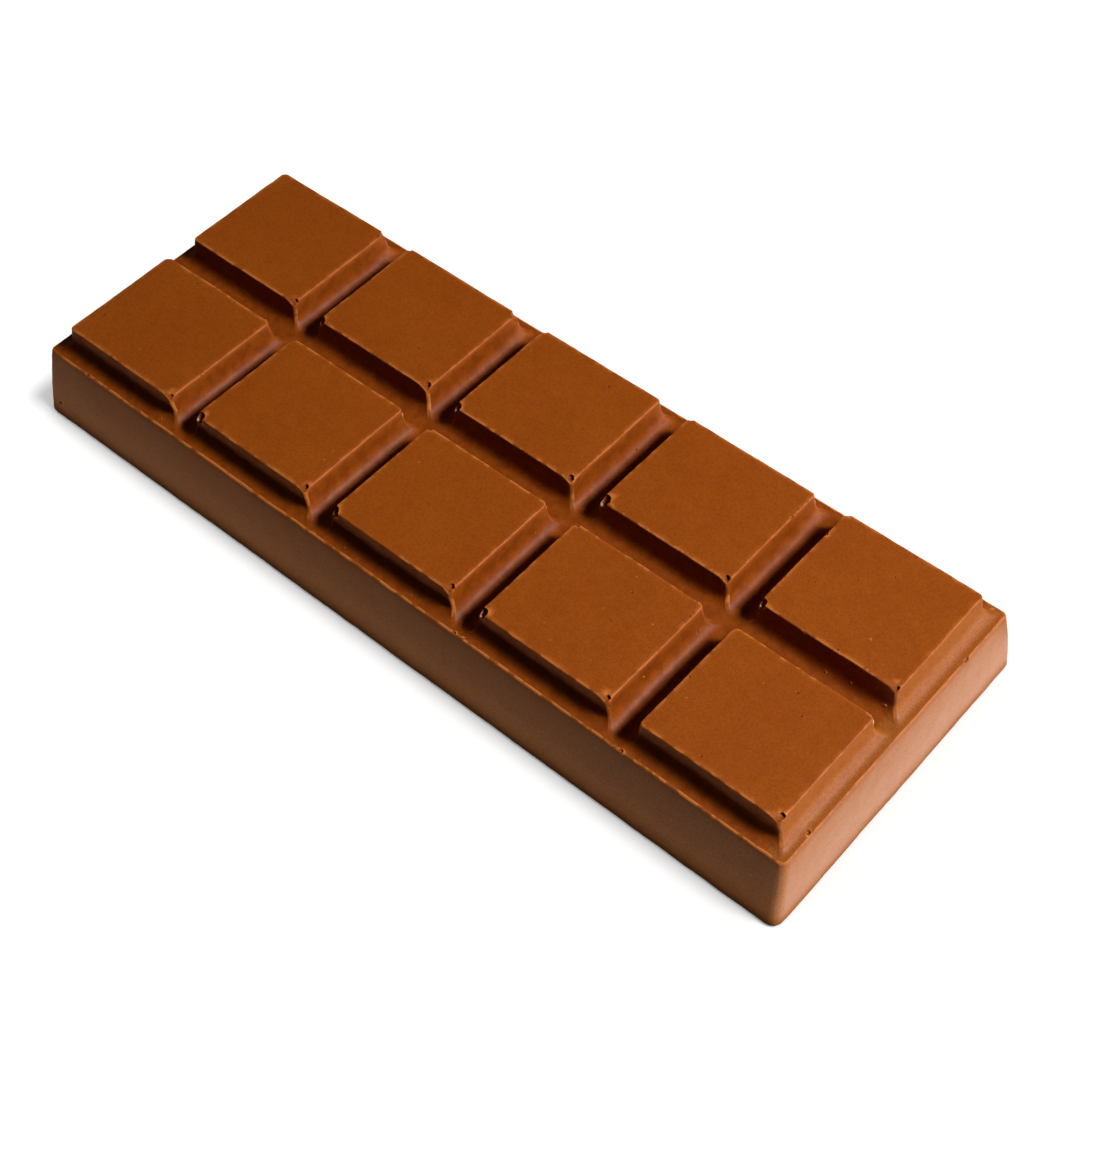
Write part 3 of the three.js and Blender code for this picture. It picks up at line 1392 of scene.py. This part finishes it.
@dataclass(frozen=True)
class Viewpoint:
    """The camera: where it stands, what it looks at and how long its lens is."""

    place: Triple = (112.847 * MM, -116.235 * MM, 199.984 * MM)
    target: Triple = (10.633 * MM, -3.361 * MM, 0.0)
    roll: float = math.radians(-1.791)
    focal_pixels: float = 1961.14
    picture: tuple[int, int] = (1097, 1168)
    sensor: float = 36.0
    clip: Pair = (0.01, 50.0)

    def build(self) -> bpy.types.Object:
        """Makes the camera and looks through it.

        Returns:
            The camera.
        """
        data = bpy.data.cameras.new("camera")
        data.sensor_width = self.sensor
        data.lens = self.focal_pixels / max(self.picture) * self.sensor
        data.clip_start, data.clip_end = self.clip
        camera = new_object("camera", data)
        away = Vector(self.place) - Vector(self.target)
        turn = away.to_track_quat("Z", "Y").to_matrix() @ Matrix.Rotation(self.roll, 3, "Z")
        camera.matrix_world = Matrix.Translation(self.place) @ turn.to_4x4()
        bpy.context.scene.camera = camera
        return camera


def panel_light(name: str, size: Pair, power: float, place: Vector, turn: Matrix) -> bpy.types.Object:
    """Makes one flat light that the camera doesn't see.

    Args:
        name: its name.
        size: its width and height.
        power: how many watts it gives.
        place: where its middle is.
        turn: how it is turned; it shines along its own -Z.

    Returns:
        The light.
    """
    data = bpy.data.lights.new(name, "AREA")
    data.shape = "RECTANGLE"
    data.size, data.size_y = size
    data.energy = power
    light = new_object(name, data)
    light.matrix_world = Matrix.Translation(place) @ turn.to_4x4()
    light.visible_camera = False
    return light


@dataclass(frozen=True)
class SoftBox:
    """One soft light, as large as its panel, aimed at the middle of the bar. Angles in degrees."""

    name: str
    azimuth: float
    elevation: float
    distance: float
    width: float
    height: float
    power: float
    mirrored: bool = True
    aim: Triple = (0.0, 0.0, 8 * MM)

    def build(self) -> bpy.types.Object:
        """Makes the light.

        Returns:
            The light.
        """
        round_it, above = math.radians(self.azimuth), math.radians(self.elevation)
        level = math.cos(above)
        direction = Vector((level * math.cos(round_it), level * math.sin(round_it), math.sin(above)))
        turn = direction.to_track_quat("Z", "Y").to_matrix()
        place = Vector(self.aim) + direction * self.distance
        light = panel_light(self.name, (self.width, self.height), self.power, place, turn)
        light.visible_glossy = self.mirrored
        return light


@dataclass(frozen=True)
class BounceCard:
    """A panel that lies on the floor along one side of the bar and lights that side from below.

    A mirrored card shows only in the bar's sheen, and any other card only in its own colour.
    """

    name: str
    side: Side
    start: float
    depth: float
    brightness: float
    mirrored: bool = False
    overhang: float = 25 * MM

    def build(self, half_length: float, half_width: float) -> bpy.types.Object:
        """Makes the light.

        Args:
            half_length: half the length of the bar.
            half_width: half its width.

        Returns:
            The light.
        """
        end_on = self.side.end_on
        away = (half_length if end_on else half_width) + self.start + self.depth / 2
        along = 2 * ((half_width if end_on else half_length) + self.overhang)
        size = (self.depth, along) if end_on else (along, self.depth)
        outward = self.side.direction
        place = Vector((outward[0] * away, outward[1] * away, LAMP_LIFT))
        power = self.brightness * PANEL_WATTS * size[0] * size[1]
        light = panel_light(self.name, size, power, place, Matrix.Rotation(math.pi, 3, "X"))
        light.visible_diffuse = not self.mirrored
        light.visible_glossy = self.mirrored
        return light


@dataclass(frozen=True)
class FloorSun:
    """A light from far off, for the floor alone. Angles in degrees."""

    name: str
    power: float
    spread: float
    azimuth: float = 0.0
    elevation: float = 90.0

    def build(self) -> bpy.types.Object:
        """Makes the light.

        Returns:
            The light.
        """
        data = bpy.data.lights.new(self.name, "SUN")
        data.energy = self.power
        data.angle = math.radians(self.spread)
        light = new_object(self.name, data)
        lean = math.pi / 2 - math.radians(self.elevation)
        light.rotation_euler = (0, lean, math.radians(self.azimuth))
        return light


@dataclass
class Studio:
    """A white floor under soft light from the far right."""

    floor_size: float = 6.0
    backdrop: Colour = rgba(0.94, 0.94, 0.94)
    viewpoint: Viewpoint = field(default_factory=Viewpoint)
    suns: tuple[FloorSun, ...] = (
        FloorSun("floor_glow", 2.36, 150),
        FloorSun("floor_key", 2.05, 16, 25, 60),
    )
    lights: tuple[SoftBox, ...] = (
        SoftBox("key", 17, 46.5, 0.6, 0.108, 0.114, 4.50),
        SoftBox("key_skirt", 20, 44, 0.6, 0.400, 0.150, 1.25),
        SoftBox("low_right", 16, 7, 0.5, 0.105, 0.120, 1.00),
        SoftBox("low_back", 40, 7, 0.5, 0.105, 0.120, 0.55),
        SoftBox("far_left", 160, 16, 0.5, 0.330, 0.240, 0.32, False),
        SoftBox("front_fill", 270, 15, 0.5, 0.350, 0.250, 0.05, False),
    )
    cards: tuple[BounceCard, ...] = (
        BounceCard("right_card", Side.EAST, 5 * MM, 65 * MM, 1.35),
        BounceCard("right_sheen", Side.EAST, 0.5 * MM, 49.5 * MM, 2.8, True, 4 * MM),
        BounceCard("front_card", Side.SOUTH, 4.5 * MM, 4 * MM, 4.6),
        BounceCard("front_sheen", Side.SOUTH, 0.3 * MM, 5 * MM, 0.2, True),
        BounceCard("back_sheen", Side.NORTH, 10 * MM, 30 * MM, 1.0, True),
        BounceCard("back_card", Side.NORTH, 4 * MM, 10 * MM, 1.0),
        BounceCard("left_card", Side.WEST, 4 * MM, 10 * MM, 1.0),
    )

    def build(self, bar: bpy.types.Object, half_length: float, half_width: float) -> None:
        """Makes the floor, the lights, the camera and the surroundings.

        Args:
            bar: the bar's piece.
            half_length: half the length of the bar.
            half_width: half its width.
        """
        for_floor = self._only(self._floor())
        for_bar = self._only(bar)
        for sun in self.suns:
            sun.build().light_linking.receiver_collection = for_floor
        for light in self.lights:
            light.build().light_linking.receiver_collection = for_bar
        for card in self.cards:
            card.build(half_length, half_width).light_linking.receiver_collection = for_bar
        self.viewpoint.build()
        self._surroundings()
        bpy.context.scene.view_settings.view_transform = "Standard"

    @staticmethod
    def _only(thing: bpy.types.Object) -> bpy.types.Collection:
        """Makes a collection for the lights that light one thing alone.

        Args:
            thing: what they light.

        Returns:
            The collection that holds it.
        """
        collection = bpy.data.collections.new(thing.name + "_only")
        collection.objects.link(thing)
        return collection

    def _floor(self) -> bpy.types.Object:
        """Lays the floor, which throws no light back: the cards stand in for that.

        Returns:
            The floor.
        """
        mesh = bpy.data.meshes.new("floor")
        half = self.floor_size / 2
        corners = [(-half, -half, 0), (half, -half, 0), (half, half, 0), (-half, half, 0)]
        mesh.from_pydata(corners, [], [(0, 1, 2, 3)])
        floor = new_object("floor", mesh)
        floor.data.materials.append(WhiteFloor().material("white_floor"))
        floor.visible_diffuse = False
        floor.visible_glossy = False
        return floor

    def _surroundings(self) -> None:
        """Makes a world that looks pale but lights nothing."""
        world = bpy.data.worlds.new("studio")
        world.use_nodes = True
        tree = world.node_tree
        background = tree.nodes["Background"]
        background.inputs["Color"].default_value = self.backdrop
        path = tree.nodes.new("ShaderNodeLightPath")
        tree.links.new(path.outputs["Is Camera Ray"], background.inputs["Strength"])
        bpy.context.scene.world = world


# ---- The bar ----


@dataclass
class ChocolateBar:
    """The bar itself."""

    surface: BarSurface
    finish: MilkChocolate = field(default_factory=MilkChocolate)
    sag: CornerSag = field(default_factory=CornerSag)
    unevenness: Unevenness = field(default_factory=Unevenness)
    sharp_angle: float = math.radians(50)

    def build(self) -> bpy.types.Object:
        """Makes the bar's piece and dresses it.

        Returns:
            The piece.
        """
        mesh = self.surface.build()
        self.sag.apply(mesh, self.surface)
        self.unevenness.apply(mesh)
        piece = new_object("bar", mesh)
        carver = Carver(piece)
        carver.cut(self._lumps(PINHOLES + NOTCHES + EDGE_NICKS + SLAB_HOLLOWS))
        beads = self._lumps(BEADS)
        carver.add(beads + self._lumps(LIPS + TOP_CRUMBS + SLAB_CRUMBS))
        SkinLayers(self.surface).store(piece.data, beads)
        carver.cut(self._lumps(TOP_PITS))
        piece.data.name = "bar"
        for polygon in piece.data.polygons:
            polygon.use_smooth = True
        piece.data.set_sharp_from_angle(angle=self.sharp_angle)
        piece.data.materials.clear()
        piece.data.materials.append(self.finish.material("milk_chocolate"))
        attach(piece, BODY)
        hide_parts(BAR_NODE)
        return piece

    def _lumps(self, marks: Sequence[CornerMark | TopMark | SlabMark]) -> list[Lump]:
        """The lumps for a set of marks."""
        return [mark.lump(self.surface) for mark in marks]


def main() -> None:
    """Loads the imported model, dresses it and sets up the studio."""
    logging.basicConfig(level=logging.INFO, format="%(name)s: %(message)s")
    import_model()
    low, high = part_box(BAR_NODE)
    bar_surface = BarSurface(low, high)
    bar = ChocolateBar(bar_surface).build()
    triangles = sum(len(polygon.vertices) - 2 for polygon in bar.data.polygons)
    log.info("%s has %d faces, %d triangles", bar.name, len(bar.data.polygons), triangles)
    Studio().build(bar, bar_surface.base_x, bar_surface.base_y)


if __name__ == "__main__":
    main()
